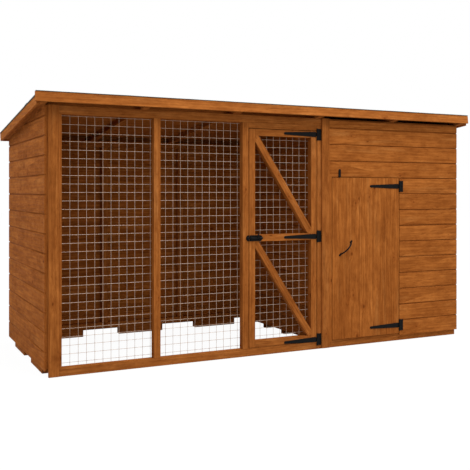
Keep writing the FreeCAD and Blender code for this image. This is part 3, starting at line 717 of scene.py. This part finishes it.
def welded_wire(bays):
    """A wire along z, with a weld in the middle of each bay and a short stub past the last ones."""
    lay_down()
    bpy.ops.mesh.primitive_cylinder_add(
        vertices=8, radius=WIRE_RADIUS, depth=WIRE_PITCH, end_fill_type="NOTHING")
    piece = bpy.context.object
    bpy.ops.object.mode_set(mode="EDIT")
    for edge in (-WELD_HALF, WELD_HALF):
        bpy.ops.mesh.select_all(action="SELECT")
        bpy.ops.mesh.bisect(plane_co=(0, 0, edge), plane_no=(0, 0, 1))
    pick("VERT", lambda middle, normal: abs(middle.z) < 2 * WELD_HALF)
    bpy.ops.transform.resize(value=(WELD_SWELL, WELD_SWELL, 1))
    take_up(piece)
    bay = piece.modifiers.new("bays", "ARRAY")
    bay.count = bays
    bay.use_relative_offset = False
    bay.use_constant_offset = True
    bay.constant_offset_displace = (0, 0, WIRE_PITCH)
    bay.use_merge_vertices = True
    bay.merge_threshold = 0.00001
    bpy.ops.object.modifier_apply(modifier="bays")
    bpy.ops.object.mode_set(mode="EDIT")
    trim = WIRE_PITCH / 2 - WIRE_STUB
    pick("VERT", lambda middle, normal: middle.z < -WIRE_PITCH / 4)
    bpy.ops.transform.translate(value=(0, 0, trim))
    pick("VERT", lambda middle, normal: middle.z > (bays - 0.75) * WIRE_PITCH)
    bpy.ops.transform.translate(value=(0, 0, -trim))
    bpy.ops.mesh.select_all(action="SELECT")
    bpy.ops.mesh.fill_holes(sides=0)
    take_up(piece)
    bpy.ops.object.shade_smooth_by_angle(angle=math.radians(60))
    return piece


# %% Weave the two sheets
CAD_WIRE_RADIUS = 0.0015


def welded_sheet(node, body):
    """Upright wires at the front, level wires behind them, a weld's depth apart."""
    low, high = (Vector(corner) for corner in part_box(node))
    across, up = (round((high[axis] - low[axis]) / WIRE_PITCH) + 1 for axis in (0, 2))
    first = low + Vector((CAD_WIRE_RADIUS, WIRE_RADIUS, CAD_WIRE_RADIUS))
    lay_back = Matrix.Rotation(math.pi / 2, 4, "Y")
    upright = welded_wire(up)
    level = welded_wire(across)
    uprights = [Matrix.Translation((first.x + step * WIRE_PITCH, first.y, first.z))
                for step in range(across)]
    behind = first.y + 1.8 * WIRE_RADIUS
    levels = [Matrix.Translation((first.x, behind, first.z + step * WIRE_PITCH)) @ lay_back
              for step in range(up)]
    stock = [(upright, uprights), (level, levels)]
    sheet = carry(stock, node + "_wires", body, wire)
    put_away(upright, level)
    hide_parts(node)


welded_sheet("run_mesh", "house")
welded_sheet("run_door_mesh", "run_door")

# %% [markdown]
# ## Screws
# Each strap, plate and foot is held by black countersunk screws. The head is a short cylinder whose rim is
# bevelled and whose face is inset and pushed in for the driver. A ray cast from the front finds the
# surface each head sits on, so no depth has to be worked out by hand.

# %% A countersunk screw head
SCREW_RISE = 0.0011


def screw_head(radius):
    """A head that faces -Y, with its underside at the origin."""
    lay_down()
    bpy.ops.mesh.primitive_cylinder_add(
        vertices=12, radius=radius, depth=SCREW_RISE, location=(0, 0, SCREW_RISE / 2))
    head = bpy.context.object
    bpy.ops.object.transform_apply(location=True)
    bpy.ops.object.mode_set(mode="EDIT")
    pick("FACE", lambda middle, normal: normal.z > 0.9)
    bpy.ops.mesh.bevel(offset=SCREW_RISE * 0.45, segments=1)
    pick("FACE", lambda middle, normal: normal.z > 0.9 and middle.z > SCREW_RISE * 0.9)
    bpy.ops.mesh.inset(thickness=radius * 0.42, depth=0)
    pick("FACE", lambda middle, normal: normal.z > 0.9 and middle.xy.length < radius * 0.1)
    bpy.ops.mesh.inset(thickness=radius * 0.12, depth=-SCREW_RISE * 0.7)
    take_up(head)
    head.rotation_euler = (math.pi / 2, 0, 0)
    bpy.ops.object.transform_apply(rotation=True)
    return head


def on_front(node, x, z):
    """The place on the front of a node at x, z, for a piece that faces -Y."""
    hit, point = nodes[node].ray_cast(Vector((x, -2.0, z)), Vector((0, 1, 0)))[:2]
    if not hit:
        raise ValueError("no surface of %s at %.3f, %.3f" % (node, x, z))
    return Matrix.Translation(point)


# %% Screw the hinges down
STRAP_HOLES = (0.045, 0.125, 0.222)
PLATE_HOLE = 0.020
PLATE_HOLE_RISES = (-0.027, 0.0, 0.027)


def pin_middles(label):
    return [(low + high) / 2 for low, high in sticks(label + "_hinge_pins")]


def hinge_screws(label, body):
    """Three screws in each strap, counted from its pin, and three in each plate."""
    pins = pin_middles(label)
    straps = [on_front(label + "_hinge_straps", pin.x - along, pin.z)
              for pin in pins for along in STRAP_HOLES]
    plates = [on_front(label + "_hinge_plates", pin.x + PLATE_HOLE, pin.z + rise)
              for pin in pins for rise in PLATE_HOLE_RISES]
    carry([(large_head, straps)], label + "_strap_screws", body, iron)
    carry([(large_head, plates)], label + "_plate_screws", "house", iron)


large_head = screw_head(0.0042)
small_head = screw_head(0.003)
hinge_screws("run", "run_door")
hinge_screws("kennel", "kennel_door")

# %% Screw the bolt and the handle down
BOLT_HOLE_INSET = 0.006
HANDLE_LEAN = math.radians(44)
HANDLE_FOOT = 0.0695

plate_low, plate_high = (Vector(corner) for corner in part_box("bolt_plate"))
bolt_screws = [on_front("bolt_plate", x, z)
               for x in (plate_low.x + 0.0355, plate_high.x - 0.010)
               for z in (plate_low.z + BOLT_HOLE_INSET, plate_high.z - BOLT_HOLE_INSET)]
carry([(small_head, bolt_screws)], "bolt_plate_screws", "run_door", iron)

handle_low, handle_high = (Vector(corner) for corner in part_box("pull_handle"))
grip = (handle_low + handle_high) / 2
foot = Vector((math.cos(HANDLE_LEAN), 0, math.sin(HANDLE_LEAN))) * HANDLE_FOOT
foot_screws = [on_front("pull_handle", (grip + side * foot).x, (grip + side * foot).z) for side in (-1, 1)]
carry([(small_head, foot_screws)], "pull_handle_screws", "kennel_door", iron)
put_away(large_head, small_head)

# %% [markdown]
# ## Tapered straps
# The long leaf of a tee hinge is cut from flat bar, widest at its shoulder, and rolled round the pin. The
# packed leaf is only as wide as its knuckle, and the real one is about a third wider, with shoulders. So a
# flat bar is tapered by scaling its far end, its tip is rounded by bevelling one corner at a time, and the
# shoulders come from extruding the near end and narrowing it. The rolled knuckle is an open tube, given
# its wall by Solidify, and keeps the bore that the pin runs in.

# %% The leaf
STRAP_REACH = 0.258
SHOULDER = 0.012
SHOULDER_HALF = 0.0175
TIP_HALF = 0.0082
NECK = 0.005
KNUCKLE_HALF = 0.013
LEAF = 0.003
LEAF_BACK = 0.0058
LEAF_EDGE = 0.0005


def strap_leaf():
    """A leaf along -X whose pin stands at the origin, with its back against the door."""
    lay_down()
    bpy.ops.mesh.primitive_cube_add(
        size=1, location=(-(STRAP_REACH + SHOULDER) / 2, LEAF_BACK - LEAF / 2, 0))
    leaf = bpy.context.object
    leaf.scale = (STRAP_REACH - SHOULDER, LEAF, 2 * SHOULDER_HALF)
    bpy.ops.object.transform_apply(location=True, scale=True)
    bpy.ops.object.mode_set(mode="EDIT")
    tip = -STRAP_REACH + 0.001
    pick("VERT", lambda middle, normal: middle.x < tip)
    bpy.ops.transform.resize(value=(1, 1, TIP_HALF / SHOULDER_HALF))
    for side in (-1, 1):
        pick("VERT", lambda middle, normal: middle.x < tip and side * middle.z > TIP_HALF * 0.99)
        bpy.ops.mesh.bevel(offset=TIP_HALF * 0.94, segments=6)
    pick("FACE", lambda middle, normal: normal.x > 0.9)
    extrude(NECK, 0, 0)
    bpy.ops.transform.resize(value=(1, 1, KNUCKLE_HALF / SHOULDER_HALF))
    extrude(NECK, 0, 0)
    take_up(leaf)
    soften(leaf, LEAF_EDGE)
    bpy.ops.object.modifier_apply(modifier="eased_edges")
    return leaf


# %% The knuckle
KNUCKLE = 0.0055
KNUCKLE_WALL = 0.0029


def rolled_knuckle():
    lay_down()
    bpy.ops.mesh.primitive_cylinder_add(
        vertices=28, radius=KNUCKLE, depth=2 * KNUCKLE_HALF, end_fill_type="NOTHING")
    knuckle = bpy.context.object
    wall = knuckle.modifiers.new("wall", "SOLIDIFY")
    wall.thickness = KNUCKLE_WALL
    wall.offset = -1.0
    bpy.ops.object.modifier_apply(modifier="wall")
    bpy.ops.object.shade_smooth_by_angle(angle=math.radians(40))
    return knuckle


# %% Hang the straps on their pins
leaf = strap_leaf()
knuckle = rolled_knuckle()
for label, body in (("run", "run_door"), ("kennel", "kennel_door")):
    places = [Matrix.Translation(pin) for pin in pin_middles(label)]
    straps = carry([(leaf, places), (knuckle, places)], label + "_forged_straps", body, iron)
    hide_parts(label + "_hinge_straps")
put_away(leaf, knuckle)

# %% [markdown]
# ## The felt roof
# Mineral felt comes in metre-wide rolls. It is laid from the low edge up, so that each strip laps the one
# below and sheds the rain. Here one full strip covers the back of the roof, and a cut strip laps it and is
# dressed up behind the front fascia and over its top edge, which is the thin dark line seen from the front.
# Nailed felt doesn't drape, so nothing is simulated: the strips are drawn flat as planes, folded at the
# edges by extruding, lifted where they lap, given a little slackness and then their thickness, and only
# then carried onto the slope.

# %% The slope of the roof
ROOF_SLOPE = math.radians(6.1)
FELT = 0.0022
CAD_FELT = 0.002

felt_low, felt_high = (Vector(corner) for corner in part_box("roof_felt"))
deck_half = (felt_high.x - felt_low.x) / 2
deck_depth = (felt_high.y - felt_low.y) / math.cos(ROOF_SLOPE)
deck_edge = Vector((0, felt_low.y, felt_high.z - CAD_FELT * math.cos(ROOF_SLOPE)))
on_deck = Matrix.Translation(deck_edge) @ Matrix.Rotation(-ROOF_SLOPE, 4, "X")
print("roof deck, m:", round(2 * deck_half, 3), "by", round(deck_depth, 3))

# %% Draw a strip flat and fold its edges
SIDE_PROUD = 0.0005
SIDE_HEM = (0.0008, 0.007)


def felt_strip(start, end):
    """A flat strip from start to end down the deck, with its sides turned down."""
    lay_down()
    bpy.ops.mesh.primitive_plane_add(size=1, location=(0, (start + end) / 2, 0))
    strip = bpy.context.object
    strip.scale = (2 * (deck_half + SIDE_PROUD), end - start, 1)
    bpy.ops.object.transform_apply(location=True, scale=True)
    bpy.ops.object.mode_set(mode="EDIT")
    bpy.ops.mesh.select_all(action="SELECT")
    bpy.ops.mesh.subdivide(number_cuts=40)
    for side in (-1, 1):
        pick("VERT", lambda middle, normal: side * middle.x > deck_half and abs(middle.z) < 0.0001)
        extrude(side * SIDE_HEM[0], 0, -SIDE_HEM[1])
    return strip


def fold(edge, steps):
    """Extrudes the strip's straight edge along each step of y, z and spread in x."""
    pick("VERT", lambda middle, normal: abs(middle.y - edge) < 0.0003 and abs(middle.z) < 0.0001)
    for step_y, step_z, wider in steps:
        extrude(0, step_y, step_z)
        bpy.ops.transform.resize(value=(wider, 1, 1))


# %% Slacken and thicken a strip
SLACK_WIDTH = 0.2
SLACK_HEIGHT = 0.002


def thicken(strip):
    """Turns every face outwards, lets the strip lie a little slack, and thickens it."""
    bpy.ops.mesh.select_all(action="SELECT")
    bpy.ops.mesh.normals_make_consistent(inside=False)
    if sum(face.normal.z * face.calc_area() for face in bmesh.from_edit_mesh(strip.data).faces) < 0:
        bpy.ops.mesh.flip_normals()
    take_up(strip)
    clouds = bpy.data.textures.new("felt_slackness", "CLOUDS")
    clouds.noise_scale = SLACK_WIDTH
    slack = strip.modifiers.new("slackness", "DISPLACE")
    slack.texture = clouds
    slack.texture_coords = "LOCAL"
    slack.direction = "Z"
    slack.mid_level = 0.0
    slack.strength = SLACK_HEIGHT
    body = strip.modifiers.new("thickness", "SOLIDIFY")
    body.thickness = FELT
    body.offset = 1.0
    bpy.ops.object.modifier_apply(modifier="slackness")
    bpy.ops.object.modifier_apply(modifier="thickness")
    bpy.ops.object.shade_smooth_by_angle(angle=math.radians(35))


# %% Lay the lower strip
ROLL = 1.0
lower_edge = deck_depth + 0.0004
rear_hem = [(0.0010, -0.006, 1.0), (0.0002, -0.032, 1.0)]

lower_strip = felt_strip(deck_depth - ROLL, lower_edge)
fold(lower_edge, rear_hem)
thicken(lower_strip)
print("lower strip before its folds, m:", round(lower_edge - deck_depth + ROLL, 3))

# %% Lay the upper strip over it
# The front edge goes up behind the fascia, over its top and a little way down its face.
LAP = 0.075
FASCIA_STAND = 0.0152
FASCIA_THICK = 0.0152
LAP_LIFT = FELT + 0.0003
upper_edge = 0.0008
lap_line = deck_depth - ROLL + LAP
front_fold = [
    (-0.0004, FASCIA_STAND, 1.0),
    (-FASCIA_THICK - 0.0006, 0.0003, 1.0047),
    (-0.0003, -0.0015, 1.0),
]

upper_strip = felt_strip(upper_edge, lap_line)
fold(upper_edge, front_fold)
pick("VERT", lambda middle, normal: middle.y > deck_depth - ROLL - 0.004)
bpy.ops.transform.translate(value=(0, 0, LAP_LIFT))
thicken(upper_strip)
print("upper strip before its folds, m:", round(lap_line - upper_edge, 3))

strips = [(lower_strip, [on_deck]), (upper_strip, [on_deck])]
felt_cover = carry(strips, "roof_felt_strips", "house", felt)
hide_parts("roof_felt")
put_away(lower_strip, upper_strip)

# %% [markdown]
# ## Clout nails and cladding nails
# Felt is held by short galvanised clouts with broad heads, closest along the lap. The boards are fixed with
# one small brad to each stud. Both heads are a shallow disc whose middle is inset and raised to a dome, and
# both are set by casting a ray on what they are driven into.

# %% A domed nail head
def nail_head(radius, rise, sides):
    """A head that faces +Z, with its underside at the origin."""
    lay_down()
    bpy.ops.mesh.primitive_cylinder_add(
        vertices=sides, radius=radius, depth=rise, location=(0, 0, rise / 2))
    head = bpy.context.object
    bpy.ops.object.transform_apply(location=True)
    bpy.ops.object.mode_set(mode="EDIT")
    pick("FACE", lambda middle, normal: normal.z > 0.9)
    bpy.ops.mesh.inset(thickness=radius * 0.45, depth=0)
    bpy.ops.transform.translate(value=(0, 0, rise * 0.5))
    lay_down()
    return head


# %% Nail the felt
LAP_NAILS = 0.10
EDGE_NAILS = 0.15
nail_span = deck_half - 0.032


def on_felt(x, down):
    """The place on the felt at x and so far down the deck."""
    above = on_deck @ Vector((x, down, 0.1))
    inward = on_deck.to_3x3() @ Vector((0, 0, -1))
    point = felt_cover.ray_cast(above, inward)[1]
    return Matrix.Translation(point) @ Matrix.Rotation(-ROOF_SLOPE, 4, "X")


def spaced(first, last, pitch):
    count = round((last - first) / pitch)
    return [first + (last - first) * step / count for step in range(count + 1)]


clout = nail_head(0.0045, 0.0008, 10)
spots = [(x, lap_line - 0.02) for x in spaced(-nail_span, nail_span, LAP_NAILS)]
spots += [(x, deck_depth - 0.015) for x in spaced(-nail_span, nail_span, EDGE_NAILS)]
spots += [(x, 0.03) for x in spaced(-nail_span, nail_span, EDGE_NAILS)]
spots += [(side * (deck_half - 0.009), down)
          for side in (-1, 1) for down in spaced(0.1, deck_depth - 0.1, EDGE_NAILS)]
clouts = [on_felt(x, down) for x, down in spots]
carry([(clout, clouts)], "felt_clout_nails", "house", wire)

# %% Find the places of the cladding nails
BOARD_ROWS = 14
NAIL_RISE = 0.032
OUTSIDE = 3.0
STUD_NEAR = 0.12


def cladding_nails(boards, studs, inward):
    """One nail through every board into every stud behind it, where a ray meets the board's face."""
    turn_out = (-inward).to_track_quat("Z", "Y").to_matrix().to_4x4()
    along = 1 if abs(inward.x) > 0.5 else 0
    places = []
    for low, high in sticks(studs):
        for row in range(BOARD_ROWS):
            level = BOARD_START + row * BOARD_PITCH + NAIL_RISE
            start = Vector((0, 0, level))
            start[along] = (low[along] + high[along]) / 2
            start -= inward * OUTSIDE
            hit, point, normal = nodes[boards].ray_cast(start, inward)[:3]
            squarely = hit and normal.dot(-inward) > 0.98
            over_stud = low.z + 0.01 < level < high.z
            near_stud = abs(point.dot(inward) - low.dot(inward)) < STUD_NEAR
            if squarely and over_stud and near_stud:
                places.append(Matrix.Translation(point) @ turn_out)
    return places


# %% Nail the boards
WALLS = [
    ("left_wall_boards", "left_wall_studs", Vector((1, 0, 0))),
    ("right_wall_boards", "right_wall_studs", Vector((-1, 0, 0))),
    ("run_back_boards", "run_back_studs", Vector((0, -1, 0))),
    ("kennel_back_boards", "kennel_back_studs", Vector((0, -1, 0))),
    ("kennel_front_boards", "kennel_front_studs", Vector((0, 1, 0))),
]
brad = nail_head(0.0019, 0.0003, 8)
for boards, studs, inward in WALLS:
    brads = cladding_nails(boards, studs, inward)
    carry([(brad, brads)], boards.replace("boards", "nails"), "house", zinc)
put_away(clout, brad)
